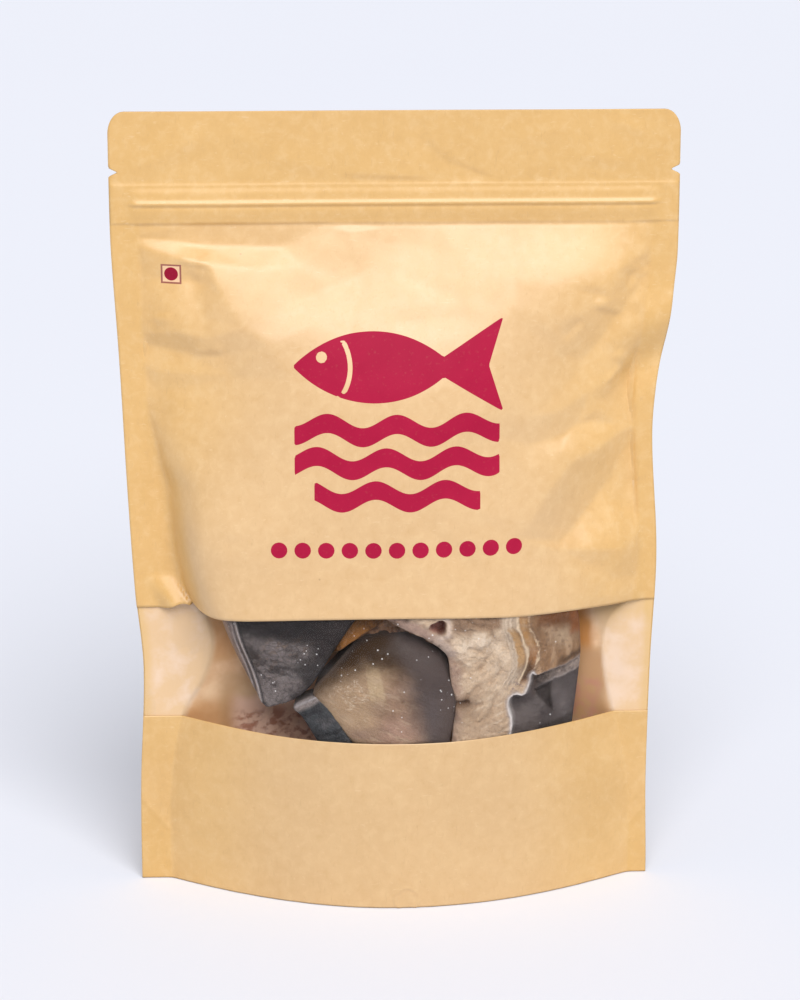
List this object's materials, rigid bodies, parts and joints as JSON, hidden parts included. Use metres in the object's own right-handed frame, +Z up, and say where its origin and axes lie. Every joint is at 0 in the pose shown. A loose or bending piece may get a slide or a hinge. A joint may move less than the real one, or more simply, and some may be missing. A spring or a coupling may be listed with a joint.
{
  "type": "dried shark in a kraft window pouch",
  "caption": "Sealed kraft-paper stand-up pouch with a zip header and a clear window band, holding cut pieces of dried shark.",
  "frame": {"origin": "middle of the base's bounding box, on the floor", "axes": "+Z up the pouch, +Y towards its back and -Y towards the printed front with the window, +X to the right as seen from the front"},
  "size_m": [0.1601, 0.0525, 0.23],
  "materials": {
    "kraft_paper": "matt kraft paper with short fibres and a faint laminate sheen",
    "print_crimson": "flat crimson ink on kraft paper",
    "window_film": "clear laminate film, glossy with soft wrinkles",
    "shark_skin": "dried shark skin, slate grey to brown, fine rough grain",
    "shark_flesh": "dried shark flesh, brown, slightly translucent",
    "shark_flesh_pale": "dried shark flesh, cream and tan, folded and fibrous",
    "shark_flesh_orange": "thin strip of dried flesh, orange brown"
  },
  "bodies": {
    "root": {"kraft_pouch": "kraft_paper", "window_film": "window_film", "shark_piece_left": "shark_skin", "shark_piece_sliver": "shark_flesh_orange", "shark_piece_centre": "shark_flesh", "shark_piece_behind": "shark_skin", "shark_piece_low": "shark_skin", "shark_piece_right": "shark_flesh_pale"}
  },
  "joints": []
}
